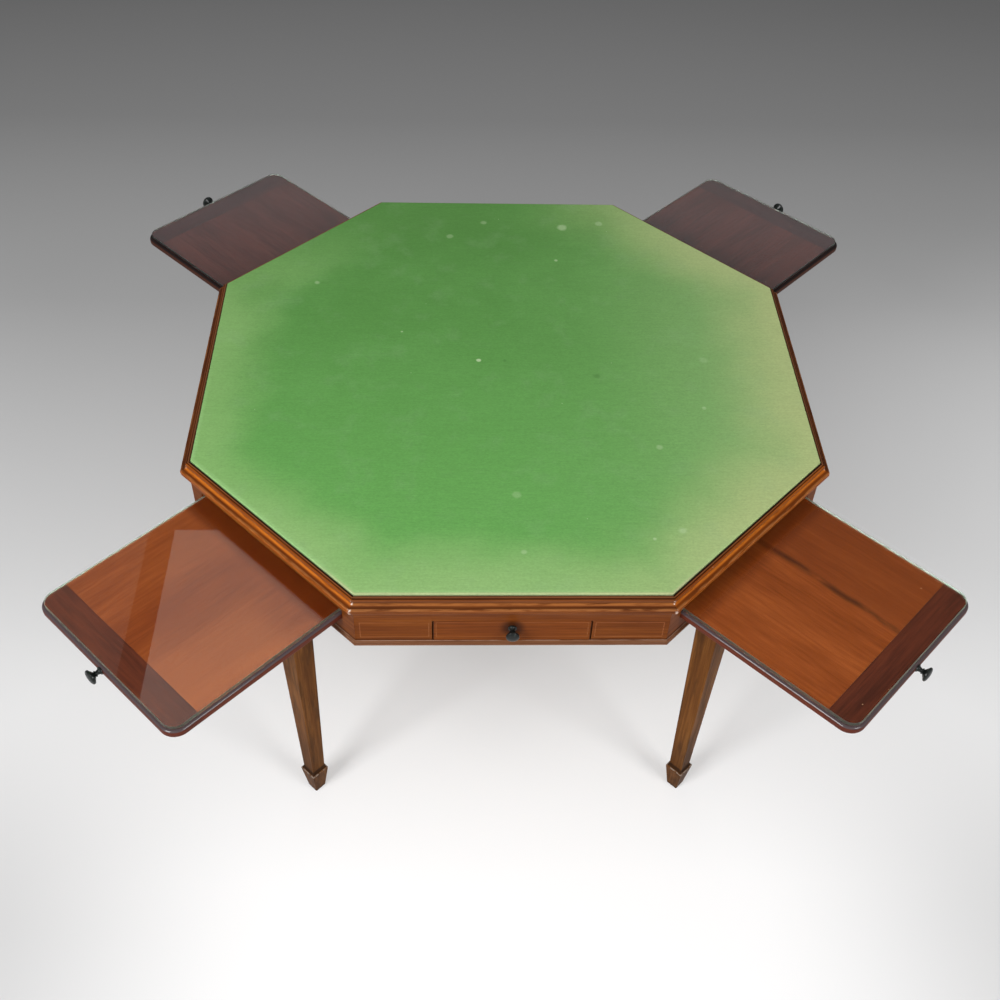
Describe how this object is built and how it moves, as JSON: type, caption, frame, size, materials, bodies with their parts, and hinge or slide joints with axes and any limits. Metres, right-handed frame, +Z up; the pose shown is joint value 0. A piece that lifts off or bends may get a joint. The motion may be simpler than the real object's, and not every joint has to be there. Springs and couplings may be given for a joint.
{
  "type": "card table",
  "caption": "Octagonal baize-topped card table on square tapering legs with spade feet, with glass-topped slides at the corner sides and shallow drawers in the straight sides.",
  "frame": {"origin": "on the floor under the middle of the top", "axes": "+Z up, the front drawer faces -Y, straight sides face the X and Y axes and corner sides face the diagonals"},
  "size_m": [1.3182, 1.3182, 0.735],
  "materials": {
    "baize": "green woollen baize, faded towards its edges",
    "mahogany": "French-polished mahogany with light stringing",
    "deal": "unpolished softwood of the inner frame",
    "drawer_lining": "unpolished drawer lining",
    "plate_glass": "clear plate glass with ground green edges",
    "ebonised_wood": "black polished turned wood"
  },
  "bodies": {
    "table": {"baize": "baize", "playing_panel": "deal", "base_moulding": "mahogany", "dust_board": "deal", "lipping_front": "mahogany", "lipping_front_right": "mahogany", "lipping_right": "mahogany", "lipping_back_right": "mahogany", "lipping_back": "mahogany", "lipping_back_left": "mahogany", "lipping_left": "mahogany", "lipping_front_left": "mahogany", "apron_front": "mahogany", "apron_front_right": "mahogany", "apron_right": "mahogany", "apron_back_right": "mahogany", "apron_back": "mahogany", "apron_back_left": "mahogany", "apron_left": "mahogany", "apron_front_left": "mahogany", "leg_front_right": "mahogany", "leg_back_right": "mahogany", "leg_back_left": "mahogany", "leg_front_left": "mahogany", "slide_frame_front_right": "deal", "slide_frame_back_right": "deal", "slide_frame_back_left": "deal", "slide_frame_front_left": "deal"},
    "slide_front_right": {"slide_board_front_right": "mahogany", "slide_clamp_front_right": "mahogany", "slide_glass_front_right": "plate_glass", "slide_stop_front_right": "deal", "slide_knob_front_right": "ebonised_wood"},
    "slide_back_right": {"slide_board_back_right": "mahogany", "slide_clamp_back_right": "mahogany", "slide_glass_back_right": "plate_glass", "slide_stop_back_right": "deal", "slide_knob_back_right": "ebonised_wood"},
    "slide_back_left": {"slide_board_back_left": "mahogany", "slide_clamp_back_left": "mahogany", "slide_glass_back_left": "plate_glass", "slide_stop_back_left": "deal", "slide_knob_back_left": "ebonised_wood"},
    "slide_front_left": {"slide_board_front_left": "mahogany", "slide_clamp_front_left": "mahogany", "slide_glass_front_left": "plate_glass", "slide_stop_front_left": "deal", "slide_knob_front_left": "ebonised_wood"},
    "drawer_front": {"drawer_front_front": "mahogany", "drawer_box_front": "drawer_lining", "drawer_knob_front": "ebonised_wood"},
    "drawer_right": {"drawer_front_right": "mahogany", "drawer_box_right": "drawer_lining", "drawer_knob_right": "ebonised_wood"},
    "drawer_back": {"drawer_front_back": "mahogany", "drawer_box_back": "drawer_lining", "drawer_knob_back": "ebonised_wood"},
    "drawer_left": {"drawer_front_left": "mahogany", "drawer_box_left": "drawer_lining", "drawer_knob_left": "ebonised_wood"}
  },
  "joints": [
    {"name": "slide_front_right_travel", "type": "slide", "parent": "table", "child": "slide_front_right", "axis": [-0.7071, 0.7071, 0], "range_m": [0, 0.283]},
    {"name": "slide_back_right_travel", "type": "slide", "parent": "table", "child": "slide_back_right", "axis": [-0.7071, -0.7071, 0], "range_m": [0, 0.283]},
    {"name": "slide_back_left_travel", "type": "slide", "parent": "table", "child": "slide_back_left", "axis": [0.7071, -0.7071, 0], "range_m": [0, 0.283]},
    {"name": "slide_front_left_travel", "type": "slide", "parent": "table", "child": "slide_front_left", "axis": [0.7071, 0.7071, 0], "range_m": [0, 0.283]},
    {"name": "drawer_front_travel", "type": "slide", "parent": "table", "child": "drawer_front", "axis": [0, -1, 0], "range_m": [0, 0.09]},
    {"name": "drawer_right_travel", "type": "slide", "parent": "table", "child": "drawer_right", "axis": [1, 0, 0], "range_m": [0, 0.09]},
    {"name": "drawer_back_travel", "type": "slide", "parent": "table", "child": "drawer_back", "axis": [0, 1, 0], "range_m": [0, 0.09]},
    {"name": "drawer_left_travel", "type": "slide", "parent": "table", "child": "drawer_left", "axis": [-1, 0, 0], "range_m": [0, 0.09]}
  ]
}
